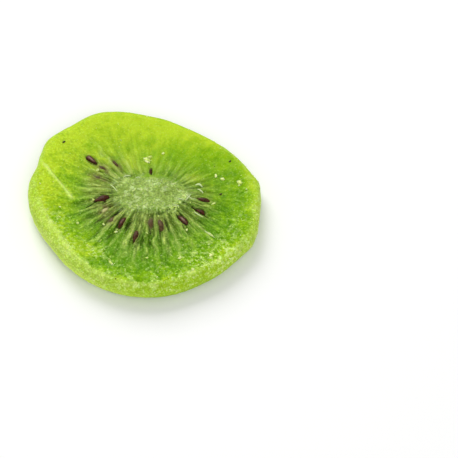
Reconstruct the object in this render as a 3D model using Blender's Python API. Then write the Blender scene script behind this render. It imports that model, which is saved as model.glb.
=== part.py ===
"""One slice of dried kiwi, cut across the fruit and lying on its flatter face.

Units are metres, +Z is up. The slice is a lathed disc whose columns run along the fruit's own rays:
from the oval core out to the uneven rim, with a sunken seed pocket between each two walls. The seeds
are fused to it. The origin is under the middle of the slice's box, on the surface it rests on.
"""

import math
import random

import bmesh
import bpy
from mathutils import Matrix, Vector, noise

MM = 0.001

# Driving sizes of the slice
THICKNESS = 5.0 * MM
CORE_HALF_LENGTH = 7.4 * MM
CORE_HALF_WIDTH = 4.5 * MM
# How far the rim reaches from the middle of the core, every 30 degrees, turning left from +X
RIM_REACH = [reach * MM for reach in (24.2, 21.5, 20.1, 22.1, 26.4, 27.2, 26.4, 24.4, 24.6, 25.0, 24.3, 24.7)]
# Dents in the rim, where the flesh shrank more, and corners, whose depth is under 0: direction in degrees,
# depth, half width
RIM_DENTS = (
    (131, 0.5 * MM, 7), (147, -0.5 * MM, 5), (163, 0.9 * MM, 7), (320, 0.25 * MM, 7), (332, -0.25 * MM, 5),
    (352, 0.6 * MM, 9), (9, -0.4 * MM, 4),
)
RIM_WAVE = 0.12 * MM
RIM_WAVES_ROUND = 9.0

# The rounded rim: how far in its rounding starts, and how square it is
RIM_ROUNDING = 2.3 * MM
RIM_SQUARENESS = 2.4

# The shown face: thicker flesh towards one side, a shallow dish between core and rim, a low dome on the
# core, and slow bumps all over
THICKER_BY = 0.9 * MM
THICKER_TOWARDS = 205
THICKER_START = 0.5
DISH_DEPTH = 0.35 * MM
CORE_RISE = 0.25 * MM
BUMP_HEIGHT = 0.16 * MM
BUMP_LENGTH = 8.0 * MM
# The resting face: the core is drawn in, a ring round it is flat, and nearer the rim the flesh touches
# the table at a few spots, given in degrees, and waves a little off it between them
CORE_HOLLOW = 0.3 * MM
RESTING_SPOTS = (10, 57, 104, 149, 196, 243, 290, 334)
RESTING_SPOT_HALF_WIDTH = 1.3
RESTING_WAVE = 0.3 * MM
RESTING_FLAT_REACH = 0.6

# Seed pockets, each between two walls of the fruit
POCKET_PITCH = 10.5
POCKET_DEPTH = 0.26 * MM
WALL_RISE = 0.10 * MM
POCKET_REACH = (0.34, 0.62)
RESTING_POCKET_REACH = 0.40

# The fold on the shown face, where the flesh left of a line stands higher than the flesh right of it
FOLD_OUTER = Vector((-23.4, 8.1)) * MM
FOLD_INNER = Vector((-16.5, -1.2)) * MM
FOLD_STEP = 0.7 * MM
FOLD_STEP_WIDTH = 0.5 * MM
FOLD_FADE = 7.0 * MM

# Seeds, which lie in the pockets and point at the core
SEED_LENGTH = 2.6 * MM
SEED_WIDTH = 1.5 * MM
SEED_HEIGHT = 1.0 * MM
SEED_TAPER = 0.45
SEED_SIDES = 6
SEED_RINGS = 4
# The seeds of the shown face: ray in degrees, distance beyond the core in mm, share of it that is sunk
SHOWN_SEEDS = (
    (90, 1.3, 0.55), (128, 5.1, 0.60), (142, 5.9, 0.60), (142, 9.5, 0.35), (156, 5.0, 0.70),
    (191, 3.2, 0.40), (210, 3.6, 0.72), (227, 4.6, 0.72), (239, 4.5, 0.40), (258, 7.0, 0.50),
    (272, 3.5, 0.62), (283, 4.5, 0.60), (309, 4.2, 0.40), (332, 5.0, 0.46), (350, 4.2, 0.45),
)
# The seeds of the resting face are scattered: the share of pockets that show one, and their distances
RESTING_SEED_SHARE = 0.5
RESTING_SEED_DISTANCE = (1.8, 5.5)
RESTING_SEED_SUNK = 0.62
SEED_CLEAR_OF_TABLE = 0.05 * MM

# The mesh: columns to a pocket, and the rings of each face, as shares of the core and of the flesh
COLUMNS_PER_POCKET = 4
CORE_RINGS = (0.5, 1.0)
SHOWN_RINGS = (0.08, 0.18, 0.29, 0.41, 0.54, 0.67, 0.79)
RESTING_RINGS = (0.12, 0.26, 0.42, 0.60, 0.78)
RIM_STEPS = 7
RANDOM_SEED = 11


def ease(share):
    """0 to 1 with a soft start and end."""
    share = min(max(share, 0.0), 1.0)
    return share * share * (3 - 2 * share)


def rim_reach(degrees):
    """The rim's distance from the middle of the core: a smooth line through RIM_REACH, dented and waved."""
    count = len(RIM_REACH)
    place = (degrees % 360) * count / 360
    first = int(place)
    t = place - first
    a, b, c, d = (RIM_REACH[(first + step) % count] for step in (-1, 0, 1, 2))
    reach = b + 0.5 * t * (c - a + t * (2 * a - 5 * b + 4 * c - d + t * (3 * (b - c) + d - a)))
    for towards, depth, half_width in RIM_DENTS:
        apart = (degrees - towards + 180) % 360 - 180
        reach -= depth * math.exp(-((apart / half_width) ** 2))
    turn = math.radians(degrees)
    around = Vector((math.cos(turn), math.sin(turn), 0)) * RIM_WAVES_ROUND / 2
    return reach + RIM_WAVE * noise.noise(around)


def core_edge(degrees):
    turn = math.radians(degrees)
    return Vector((CORE_HALF_LENGTH * math.cos(turn), CORE_HALF_WIDTH * math.sin(turn)))


def rim_edge(degrees):
    turn = math.radians(degrees)
    return rim_reach(degrees) * Vector((math.cos(turn), math.sin(turn)))


def pocket_rays():
    """The pockets' directions in degrees: one for each shown seed, and more where two are far apart."""
    with_seeds = sorted({ray for ray, *_ in SHOWN_SEEDS})
    rays = []
    for ray, following in zip(with_seeds, [*with_seeds[1:], with_seeds[0] + 360]):
        steps = max(1, round((following - ray) / POCKET_PITCH))
        rays += [ray + (following - ray) * step / steps for step in range(steps)]
    return rays


def column_ray(column, rays):
    """The direction of one column of the mesh. Every COLUMNS_PER_POCKET-th one runs down a pocket."""
    pocket, part = divmod(column, COLUMNS_PER_POCKET)
    following = rays[pocket + 1] if pocket + 1 < len(rays) else rays[0] + 360
    return rays[pocket] + (following - rays[pocket]) * part / COLUMNS_PER_POCKET


def fold(point):
    """How far the fold raises the shown face at a point."""
    along = FOLD_INNER - FOLD_OUTER
    across = Vector((along.y, -along.x)).normalized()
    beside = (point - FOLD_OUTER).dot(across)
    share = (point - FOLD_OUTER).dot(along) / along.length_squared
    ends = ease((share + 0.35) / 0.5) * ease((1.25 - share) / 0.45)
    return FOLD_STEP * ends * ease(beside / FOLD_STEP_WIDTH + 0.5) * (1 - ease(beside / FOLD_FADE))


def extra_thickness(degrees, share):
    """How far the shown face rises towards the thicker side of the rim."""
    side = max(0.0, math.cos(math.radians(degrees - THICKER_TOWARDS)))
    return THICKER_BY * side * side * ease((share - THICKER_START) / (1 - THICKER_START))


def pocket_relief(share, wave, reach):
    """The pockets' and walls' height along a ray. wave is -1 down a pocket and 1 on a wall."""
    strength = ease(share / 0.06) * (1 - ease((share - 0.5 * reach) / (0.8 * reach)))
    return strength * (WALL_RISE * (wave + 1) / 2 - POCKET_DEPTH * (1 - wave) / 2)


def shown_height(point, degrees, share, wave, reach):
    """The shown face's height. share is under 0 in the core, and runs from 0 at its edge to 1 at the rim."""
    height = THICKNESS + fold(point) + BUMP_HEIGHT * noise.noise(point.to_3d() / BUMP_LENGTH)
    if share < 0:
        return height + CORE_RISE * ease(-share)
    dish = DISH_DEPTH * math.sin(math.pi * min(share, 1.0)) ** 2
    return height - dish + pocket_relief(share, wave, reach) + extra_thickness(degrees, share)


def resting_height(degrees, share, wave):
    """The resting face's height: nothing there reaches under the table, and a ring of it is flat."""
    if share < 0:
        return CORE_HOLLOW * ease(-share * 2)
    relief = -pocket_relief(share, wave, RESTING_POCKET_REACH) * ease((0.42 - share) / 0.1)
    apart = min(abs((degrees - spot + 180) % 360 - 180) for spot in RESTING_SPOTS)
    off_spot = ease((apart - RESTING_SPOT_HALF_WIDTH) / (180 / len(RESTING_SPOTS)))
    near_rim = ease((share - RESTING_FLAT_REACH) / (1 - RESTING_FLAT_REACH))
    return max(0.0, relief) + RESTING_WAVE * off_spot * near_rim


def lathe_profile():
    """The half section to spin: (share, side) pairs, from the shown face's pole round the rim to the
    other pole. side is 1 on the shown face, -1 on the resting face and between them on the rim."""
    start = 1 - RIM_ROUNDING / (sum(RIM_REACH) / len(RIM_REACH) - CORE_HALF_LENGTH)
    core = [ring - 1 for ring in CORE_RINGS]
    flesh = [*core[:-1], 0.0, *SHOWN_RINGS]
    profile = [(-1.0, 1.0)] + [(share, 1.0) for share in flesh]
    for step in range(RIM_STEPS + 1):
        turn = math.pi * step / RIM_STEPS
        out = abs(math.sin(turn)) ** (2 / RIM_SQUARENESS)
        side = math.copysign(abs(math.cos(turn)) ** (2 / RIM_SQUARENESS), math.cos(turn))
        profile.append((start + (1 - start) * out, side))
    flesh = [*core[:-1], 0.0, *RESTING_RINGS]
    return profile + [(share, -1.0) for share in reversed(flesh)] + [(-1.0, -1.0)]


def ray_point(degrees, share):
    """A point of a ray seen from above: share -1 is the middle of the core, 0 its edge and 1 the rim."""
    if share < 0:
        return core_edge(degrees) * (1 + share)
    return core_edge(degrees).lerp(rim_edge(degrees), share)


def slice_mesh(rays, reaches):
    """The lathed disc, with every vertex moved from its turn, share and side to its real place."""
    profile = lathe_profile()
    columns = len(rays) * COLUMNS_PER_POCKET
    bm = bmesh.new()
    # A pole is a share of -1, which lies on the axis, so shares are spun one unit further out.
    section = [bm.verts.new((share + 1, 0, side)) for share, side in profile]
    edges = [bm.edges.new(pair) for pair in zip(section, section[1:])]
    bmesh.ops.spin(
        bm, geom=[*section, *edges], axis=(0, 0, 1), cent=(0, 0, 0), angle=math.tau, steps=columns, use_merge=True
    )
    bmesh.ops.remove_doubles(bm, verts=bm.verts[:], dist=1e-5)
    for vert in bm.verts:
        share, side = vert.co.xy.length - 1, vert.co.z
        column = round(math.atan2(vert.co.y, vert.co.x) / math.tau * columns) % columns
        degrees = column_ray(column, rays)
        pocket, part = divmod(column, COLUMNS_PER_POCKET)
        reach = reaches[pocket] + (reaches[(pocket + 1) % len(rays)] - reaches[pocket]) * part / COLUMNS_PER_POCKET
        wave = -math.cos(math.tau * part / COLUMNS_PER_POCKET)
        point = ray_point(degrees, share)
        high = shown_height(point, degrees, share, wave, reach)
        low = resting_height(degrees, share, wave)
        vert.co = point.to_3d() + Vector((0, 0, low + (high - low) * (side + 1) / 2))
    bmesh.ops.recalc_face_normals(bm, faces=bm.faces[:])
    return bm


def make_object(name, bm, collection):
    mesh = bpy.data.meshes.new(name)
    bm.to_mesh(mesh)
    bm.free()
    made = bpy.data.objects.new(name, mesh)
    collection.objects.link(made)
    return made


def seed_mesh(turn):
    """A seed on its side: a drop that narrows towards the core."""
    bm = bmesh.new()
    bmesh.ops.create_uvsphere(bm, u_segments=SEED_SIDES, v_segments=SEED_RINGS, radius=0.5)
    bmesh.ops.rotate(bm, verts=bm.verts[:], cent=(0, 0, 0), matrix=Matrix.Rotation(math.pi / 2, 3, "Y"))
    for vert in bm.verts:
        narrowing = 1 - SEED_TAPER * ease(0.5 - vert.co.x)
        vert.co.y *= narrowing * SEED_WIDTH
        vert.co.z *= narrowing * SEED_HEIGHT
        vert.co.x *= SEED_LENGTH
    bmesh.ops.rotate(bm, verts=bm.verts[:], cent=(0, 0, 0), matrix=Matrix.Rotation(turn, 3, "Z"))
    return bm


def add_seed(name, degrees, distance, sunk, shown, rays, reaches, collection):
    """A seed at a distance beyond the core, down the pocket at that ray, and sunk by that share of it."""
    inner, outer = core_edge(degrees), rim_edge(degrees)
    share = distance / (outer - inner).length
    point = inner.lerp(outer, share)
    outward = outer - inner
    seed = make_object(name, seed_mesh(math.atan2(outward.y, outward.x)), collection)
    if shown:
        reach = reaches[rays.index(degrees)]
        height = shown_height(point, degrees, share, -1, reach) + SEED_HEIGHT * (0.5 - sunk)
    else:
        height = resting_height(degrees, share, -1) - SEED_HEIGHT * (0.5 - sunk)
        height = max(height, SEED_HEIGHT / 2 + SEED_CLEAR_OF_TABLE)
    seed.location = (*point, height)
    return seed


def add_seeds(rays, reaches, draw):
    """The seeds of both faces, in a collection of their own."""
    collection = bpy.data.collections.new("seeds")
    bpy.context.scene.collection.children.link(collection)
    for number, (ray, distance, sunk) in enumerate(SHOWN_SEEDS):
        add_seed(f"shown_seed_{number}", ray, distance * MM, sunk, True, rays, reaches, collection)
    for number, ray in enumerate(rays):
        distance = draw.uniform(*RESTING_SEED_DISTANCE)
        if draw.random() < RESTING_SEED_SHARE:
            name = f"resting_seed_{number}"
            add_seed(name, ray, distance * MM, RESTING_SEED_SUNK, False, rays, reaches, collection)
    return collection


def fuse(body, collection):
    """Joins everything in the collection to the body, and removes what was joined."""
    union = body.modifiers.new("seeds", "BOOLEAN")
    union.operation = "UNION"
    union.solver = "EXACT"
    union.operand_type = "COLLECTION"
    union.collection = collection
    bpy.context.view_layer.update()
    evaluated = body.evaluated_get(bpy.context.evaluated_depsgraph_get())
    fused = bpy.data.meshes.new_from_object(evaluated)
    body.modifiers.clear()
    body.data = fused
    for seed in list(collection.objects):
        bpy.data.objects.remove(seed)
    bpy.data.collections.remove(collection)


def stand_on_origin(body):
    """Moves the mesh so that the origin is under the middle of its box."""
    corners = [Vector(corner) for corner in body.bound_box]
    low = Vector(map(min, zip(*corners)))
    high = Vector(map(max, zip(*corners)))
    body.data.transform(Matrix.Translation((-(low.x + high.x) / 2, -(low.y + high.y) / 2, -low.z)))


def flesh_material():
    material = bpy.data.materials.new("kiwi_flesh")
    material.use_nodes = True
    shader = material.node_tree.nodes["Principled BSDF"]
    shader.inputs["Base Color"].default_value = (0.30, 0.52, 0.03, 1)
    shader.inputs["Roughness"].default_value = 0.42
    shader.inputs["Metallic"].default_value = 0.0
    return material


def main():
    for old in list(bpy.data.objects):
        bpy.data.objects.remove(old)
    draw = random.Random(RANDOM_SEED)
    rays = pocket_rays()
    reaches = [draw.uniform(*POCKET_REACH) for _ in rays]
    body = make_object("kiwi_slice", slice_mesh(rays, reaches), bpy.context.scene.collection)
    fuse(body, add_seeds(rays, reaches, draw))
    stand_on_origin(body)
    body.data.shade_smooth()
    body.data.materials.clear()
    body.data.materials.append(flesh_material())


main()
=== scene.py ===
# %% [markdown]
# # One slice of dried kiwi
#
# A kiwi is cut across into rounds, soaked in sugar and dried. The water goes, the flesh shrinks on to its
# own walls and fibres, and what is left is a chewy disc that lets light through. This lesson dresses the
# packed solid of one such slice. The solid has the right size and the right forms, and stays as it is. The
# script builds a far finer skin on the same named sizes, puts the seeds in their pockets, lays pale fibres
# and sugar on it, and lights it softly on a pale floor.

# %% Load the packed model
import math
import random

import bmesh
import bpy
from mathutils import Matrix, Vector, noise
from mathutils.bvhtree import BVHTree


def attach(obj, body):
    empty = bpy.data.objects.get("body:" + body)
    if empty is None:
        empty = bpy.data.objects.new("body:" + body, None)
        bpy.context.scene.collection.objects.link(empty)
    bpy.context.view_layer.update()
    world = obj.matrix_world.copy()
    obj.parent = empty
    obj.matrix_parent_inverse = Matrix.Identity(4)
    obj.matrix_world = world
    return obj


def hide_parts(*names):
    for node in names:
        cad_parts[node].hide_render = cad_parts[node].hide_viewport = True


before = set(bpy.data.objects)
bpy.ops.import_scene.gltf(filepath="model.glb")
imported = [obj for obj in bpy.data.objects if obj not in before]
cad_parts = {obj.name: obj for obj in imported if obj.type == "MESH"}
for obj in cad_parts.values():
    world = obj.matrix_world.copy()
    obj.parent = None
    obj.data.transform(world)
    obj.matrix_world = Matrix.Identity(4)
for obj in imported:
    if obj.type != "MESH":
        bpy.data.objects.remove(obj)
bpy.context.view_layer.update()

MM = 0.001

# %% [markdown]
# ## The camera, the floor and the light
#
# The camera comes first, because every later choice is judged through it. It looks down at 54 degrees from
# far away with a long lens, and it is aimed so that the core lands on the same pixel as in the photograph.
# The slice shows 235 pixels wide there, and is about 50 mm across, which gives the width of the frame. The
# light is a bright surround with a large soft lamp behind the slice: thin fruit glows when light reaches it
# from behind, and it looks like painted rubber when it is lit from the front alone.

# %% Set up the camera
PHOTO_PIXELS = 458
CORE_PIXEL = (150, 192)
FRAME_WIDTH = 98.3 * MM
VIEW_ELEVATION = math.radians(54)
CAMERA_DISTANCE = 0.42
CLIP_START = 0.01
SENSOR_WIDTH = 36.0


def linked(name, data):
    """A new object in the scene."""
    thing = bpy.data.objects.new(name, data)
    bpy.context.scene.collection.objects.link(thing)
    return thing


def add_camera(core_top):
    """A camera in front of the slice that shows a given point at the core's pixel of the photograph."""
    back = Vector((0, -math.cos(VIEW_ELEVATION), math.sin(VIEW_ELEVATION)))
    up = Vector((0, math.sin(VIEW_ELEVATION), math.cos(VIEW_ELEVATION)))
    pixel = FRAME_WIDTH / PHOTO_PIXELS
    right_of_core = (PHOTO_PIXELS / 2 - CORE_PIXEL[0]) * pixel
    below_core = (PHOTO_PIXELS / 2 - CORE_PIXEL[1]) * pixel
    aim = core_top + Vector((right_of_core, 0, 0)) - up * below_core
    camera = linked("camera", bpy.data.cameras.new("camera"))
    camera.data.sensor_width = SENSOR_WIDTH
    camera.data.lens = SENSOR_WIDTH * CAMERA_DISTANCE / FRAME_WIDTH
    camera.data.clip_start = CLIP_START
    camera.location = aim + back * CAMERA_DISTANCE
    camera.rotation_euler = (math.pi / 2 - VIEW_ELEVATION, 0, 0)
    bpy.context.scene.camera = camera


print("one pixel of the photograph shows", round(FRAME_WIDTH / PHOTO_PIXELS / MM, 3), "mm")

# %% Hang the lights
SURROUND_COLOUR = (1.0, 1.0, 1.0, 1)
SURROUND_STRENGTH = 0.53
LAMPS = {  # place in metres, side of the square lamp, watts
    "lamp_behind": ((-0.22, 0.55, 0.50), 0.45, 4.0),
    "lamp_in_front": ((0.20, -0.65, 0.60), 0.60, 2.8),
}


def add_lamp(name, place, side, watts):
    """A square lamp that faces the middle of the floor."""
    lamp = linked(name, bpy.data.lights.new(name, "AREA"))
    lamp.data.size = side
    lamp.data.energy = watts
    lamp.location = place
    lamp.rotation_euler = (-Vector(place)).to_track_quat("-Z", "Y").to_euler()


for name, (place, side, watts) in LAMPS.items():
    add_lamp(name, place, side, watts)

surround = bpy.data.worlds.new("surround")
surround.use_nodes = True
surround.node_tree.nodes["Background"].inputs["Color"].default_value = SURROUND_COLOUR
surround.node_tree.nodes["Background"].inputs["Strength"].default_value = SURROUND_STRENGTH
bpy.context.scene.world = surround
bpy.context.scene.view_settings.view_transform = "Standard"
print("lamps:", list(LAMPS))

# %% [markdown]
# ## One class for shader arithmetic
#
# A material's pattern is arithmetic on masks. Wiring each Math node by hand hides that arithmetic, so one
# small class wraps a socket and turns `+`, `-` and `*` into Math nodes. Colours go through Mix nodes, because
# a Math node would turn them grey. Every other node comes from `add`, which takes the node's type, its
# settings and what goes into its sockets.

# %% Define the shader helpers
class Wire:
    """A value on its way through a material. Arithmetic on it adds Math nodes to that material."""

    def __init__(self, tree, socket=None):
        self.tree = tree
        self.socket = socket

    def add(self, kind, sockets=(), output=0, **settings):
        """Adds a node: its settings first, then the values or wires of its sockets."""
        node = self.tree.nodes.new(kind)
        for name, value in settings.items():
            setattr(node, name, value)
        for key, value in dict(sockets).items():
            self.plug(value, node.inputs[key])
        return Wire(self.tree, node.outputs[output])

    def plug(self, value, socket):
        """Links a wire to a socket, or sets the socket to a plain value."""
        if isinstance(value, Wire):
            self.tree.links.new(value.socket, socket)
        else:
            socket.default_value = value

    def math(self, operation, first, second, clamp=False):
        return self.add("ShaderNodeMath", {0: first, 1: second}, operation=operation, use_clamp=clamp)

    def __add__(self, other):
        return self.math("ADD", self, other)

    def __sub__(self, other):
        return self.math("SUBTRACT", self, other)

    def __rsub__(self, other):
        return self.math("SUBTRACT", other, self)

    def __mul__(self, other):
        return self.math("MULTIPLY", self, other)

    __radd__ = __add__
    __rmul__ = __mul__

    def clamped(self):
        """The value, kept between 0 and 1."""
        return self.math("ADD", self, 0.0, clamp=True)

    def eased(self, low, high):
        """0 under low and 1 over high, with a soft step between them."""
        return self.add("ShaderNodeMapRange", {0: self, 1: low, 2: high}, interpolation_type="SMOOTHSTEP")

    def mix(self, first, second):
        """The first colour where this mask is 0 or less, the second where it is 1 or more."""
        return self.add("ShaderNodeMix", {0: self, 6: first, 7: second}, output=2, data_type="RGBA")

    def scaled(self, factors):
        """A vector, stretched by a factor on each axis."""
        return self.add("ShaderNodeVectorMath", {0: self, 1: factors}, operation="MULTIPLY")

    def noise(self, scale, detail=2.0, roughness=0.5, distortion=0.0):
        """Cloudy noise from 0 to 1 at this place. Scale is in clouds to the unit of the place."""
        sockets = {"Vector": self, "Scale": scale, "Detail": detail}
        sockets.update({"Roughness": roughness, "Distortion": distortion})
        return self.add("ShaderNodeTexNoise", sockets)

    def mark(self, name, output="Fac"):
        """One of the marks that the mesh carries on its points."""
        return self.add("ShaderNodeAttribute", output=output, attribute_name=name)

    def place(self):
        """The place on the object, in metres."""
        return self.add("ShaderNodeTexCoord", output="Object")

    def bump(self, height, distance, strength=1.0):
        """A normal bent by a height, where a height of 1 stands that distance proud."""
        return self.add("ShaderNodeBump", {"Height": height, "Distance": distance, "Strength": strength})


print("what a wire can do:", [name for name in vars(Wire) if not name.startswith("_")])

# %% Make the floor
FLOOR_HALF_SIZE = 1.5
FLOOR_COLOUR = (0.92, 0.92, 0.915, 1)


def start_material(name, constants):
    """A material with a Principled shader, whose sockets that are the same all over are set here."""
    material = bpy.data.materials.new(name)
    material.use_nodes = True
    shader = material.node_tree.nodes["Principled BSDF"]
    for socket, value in constants.items():
        shader.inputs[socket].default_value = value
    return material, shader, Wire(material.node_tree)


def make_floor():
    """A plain pale floor, wide enough to reach past every view."""
    bm = bmesh.new()
    bmesh.ops.create_grid(bm, x_segments=1, y_segments=1, size=FLOOR_HALF_SIZE)
    mesh = bpy.data.meshes.new("floor")
    bm.to_mesh(mesh)
    bm.free()
    mesh.materials.append(start_material("floor_paper", {"Base Color": FLOOR_COLOUR, "Roughness": 0.8})[0])
    floor = linked("floor", mesh)


make_floor()
print("floor laid")

# %% [markdown]
# ## The slice's form
#
# The skin has to keep the solid's form, so it is worked out from the same named sizes. Every place on the
# slice has a ray and a share. The ray runs from the oval core's edge out to the rim, and the share says how
# far along it a place is: -1 is the middle of the core, 0 its edge and 1 the rim. Walls, pockets and fibres
# all follow the rays, as they do in the fruit, so the pattern never has to be bent round the oval later.

# %% Name the slice's sizes
THICKNESS = 5.0 * MM
CORE_HALF_LENGTH = 7.4 * MM
CORE_HALF_WIDTH = 4.5 * MM
# How far the rim reaches from the middle of the core, every 30 degrees, turning left from +X
RIM_REACH = [reach * MM for reach in (24.2, 21.5, 20.1, 22.1, 26.4, 27.2, 26.4, 24.4, 24.6, 25.0, 24.3, 24.7)]
# Where the flesh shrank to a dent (under 0) or left a corner: direction and half width in degrees, how far
RIM_DENTS = (
    (131, 7, -0.5 * MM), (147, 5, 0.5 * MM), (163, 7, -0.9 * MM), (320, 7, -0.25 * MM), (332, 5, 0.25 * MM),
    (352, 9, -0.6 * MM), (9, 4, 0.4 * MM),
)
RIM_WAVE = 0.12 * MM
RIM_WAVES_ROUND = 9.0
RIM_ROUNDING = 2.3 * MM
RIM_SQUARENESS = 2.4

THICKER_BY = 0.9 * MM
THICKER_TOWARDS = 205
THICKER_START = 0.5
DISH_DEPTH = 0.35 * MM
CORE_RISE = 0.25 * MM
BUMP_HEIGHT = 0.16 * MM
BUMP_LENGTH = 8.0 * MM

CORE_HOLLOW = 0.3 * MM
RESTING_SPOTS = (10, 57, 104, 149, 196, 243, 290, 334)
RESTING_SPOT_HALF_WIDTH = 1.3
RESTING_WAVE = 0.3 * MM
RESTING_FLAT_REACH = 0.6

POCKET_PITCH = 10.5
POCKET_DEPTH = 0.26 * MM
WALL_RISE = 0.10 * MM
POCKET_REACH = (0.34, 0.62)
RESTING_POCKET_REACH = 0.40

FOLD_OUTER = Vector((-23.4, 8.1)) * MM
FOLD_INNER = Vector((-16.5, -1.2)) * MM
FOLD_STEP = 0.7 * MM
FOLD_STEP_WIDTH = 0.5 * MM
FOLD_FADE = 7.0 * MM

SEED_LENGTH = 2.6 * MM
SEED_WIDTH = 1.5 * MM
SEED_HEIGHT = 1.0 * MM
# The seeds of the shown face: ray in degrees, distance beyond the core in mm and share of it that is sunk,
# about as in the solid. Then length and width beside the usual seed's, degrees that it is turned off its ray
# (180 more when its point is outward), how blunt its ends are (1.4 is a leaf, 2 an oval, 3 a bean), how much
# of it a film of flesh hides, and how strong the painted highlight on its back is (under a film, a pale
# husk).
SHOWN_SEEDS = (
    (90, 1.3, 0.55, 0.75, 0.50, 0, 1.6, 0.2, 0.0), (128, 5.1, 0.60, 1.20, 0.85, 0, 1.7, 0.65, 0.0),
    (142, 5.9, 0.60, 1.15, 0.95, 0, 1.8, 0.72, 0.0), (142, 9.5, 0.35, 1.18, 0.94, 0, 2.8, 0.0, 1.2),
    (156, 5.0, 0.68, 1.35, 1.15, 0, 1.8, 0.88, 0.0), (191, 3.2, 0.36, 1.25, 1.55, 190, 1.7, 0.0, 0.0),
    (210, 3.6, 0.58, 1.00, 1.40, 20, 1.8, 1.0, 3.0), (227, 4.6, 0.62, 1.00, 1.45, 0, 1.8, 0.70, 0.2),
    (239, 4.5, 0.38, 1.10, 0.95, 180, 1.7, 0.0, 0.35), (258, 7.0, 0.46, 1.28, 1.05, 180, 1.6, 0.15, 0.0),
    (272, 3.5, 0.58, 1.20, 1.40, 180, 1.8, 0.70, 0.0), (283, 4.0, 0.54, 1.25, 1.50, 180, 1.8, 0.48, 0.2),
    (309, 4.2, 0.38, 1.15, 1.02, 4, 1.7, 0.0, 1.2), (332, 5.0, 0.46, 0.90, 0.85, 0, 1.8, 0.0, 0.0),
    (350, 4.2, 0.45, 1.08, 0.78, -6, 1.8, 0.1, 0.0),
)
RESTING_SEED_SHARE = 0.5
RESTING_SEED_DISTANCE = (1.8, 5.5)
RESTING_SEED_SUNK = 0.62
SEED_CLEAR_OF_TABLE = 0.05 * MM
RANDOM_SEED = 11
print("core in mm:", round(2 * CORE_HALF_LENGTH / MM, 1), "x", round(2 * CORE_HALF_WIDTH / MM, 1))

# %% Work out the rim, the core and the rays
def clamp(value):
    """A value, kept between 0 and 1."""
    return min(max(value, 0.0), 1.0)


def ease(share):
    """0 to 1 with a soft start and end."""
    share = clamp(share)
    return share * share * (3 - 2 * share)


def hump(distance, half_width):
    """1 at no distance, and falling away softly over the half width."""
    return math.exp(-((distance / half_width) ** 2))


def towards(degrees, direction, half_width):
    """1 towards a direction, and falling away softly to both sides of it."""
    return hump((degrees - direction + 180) % 360 - 180, half_width)


def added_towards(degrees, places, amount=0.0):
    """An amount, with what places round the slice add to it: direction, half width and how much."""
    for direction, half_width, extra in places:
        amount += extra * towards(degrees, direction, half_width)
    return amount


def rim_reach(degrees):
    """The rim's distance from the middle of the core: a smooth line through RIM_REACH, dented and waved."""
    count = len(RIM_REACH)
    place = (degrees % 360) * count / 360
    first = int(place)
    t = place - first
    a, b, c, d = (RIM_REACH[(first + step) % count] for step in (-1, 0, 1, 2))
    reach = b + 0.5 * t * (c - a + t * (2 * a - 5 * b + 4 * c - d + t * (3 * (b - c) + d - a)))
    turn = math.radians(degrees)
    around = Vector((math.cos(turn), math.sin(turn), 0)) * RIM_WAVES_ROUND / 2
    return added_towards(degrees, RIM_DENTS, reach) + RIM_WAVE * noise.noise(around)


def core_edge(degrees):
    turn = math.radians(degrees)
    return Vector((CORE_HALF_LENGTH * math.cos(turn), CORE_HALF_WIDTH * math.sin(turn)))


def rim_edge(degrees):
    turn = math.radians(degrees)
    return rim_reach(degrees) * Vector((math.cos(turn), math.sin(turn)))


def ray_point(degrees, share):
    """A point of a ray seen from above: share -1 is the middle of the core, 0 its edge and 1 the rim."""
    if share < 0:
        return core_edge(degrees) * (1 + share)
    return core_edge(degrees).lerp(rim_edge(degrees), share)


def pocket_rays():
    """The pockets' directions in degrees: one for each shown seed, and more where two are far apart."""
    with_seeds = sorted({ray for ray, *_ in SHOWN_SEEDS})
    rays = []
    for ray, following in zip(with_seeds, [*with_seeds[1:], with_seeds[0] + 360]):
        steps = max(1, round((following - ray) / POCKET_PITCH))
        rays += [ray + (following - ray) * step / steps for step in range(steps)]
    return rays


rays = pocket_rays()
rim_points = [rim_edge(degrees) for degrees in range(360)]
# The frame's origin is under the middle of the slice's box, and the core lies a little off it.
core_centre = -Vector([(min(axis) + max(axis)) / 2 for axis in zip(*rim_points)])
print(len(rays), "pockets, core's middle in mm:", [round(value / MM, 2) for value in core_centre])
add_camera(Vector((*core_centre, THICKNESS + CORE_RISE)))

# %% [markdown]
# ## Walls, pockets and slits
#
# Between the seeds the fruit has thin walls, which dry paler and stand proud, and between the walls the jelly
# of each pocket dries to a groove. Where it dried most it split, and the split is the dark slit that a seed
# sits in. A texture could paint all this, but then the seeds would float on a flat face and the side light
# would find nothing, so the walls and slits are relief. The same functions give each point its marks, such as
# how much of a wall it is, and the material reads those marks for its colours. It also paints shade into the
# slits, gaps and hollows, darker than their relief alone would make them.

# %% Choose the pockets, the walls and the slits
draw = random.Random(RANDOM_SEED)
reaches = [draw.uniform(*POCKET_REACH) for _ in rays]
resting_seeds = []
for ray in rays:
    distance = draw.uniform(*RESTING_SEED_DISTANCE)
    if draw.random() < RESTING_SEED_SHARE:
        resting_seeds.append((ray, distance))

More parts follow.
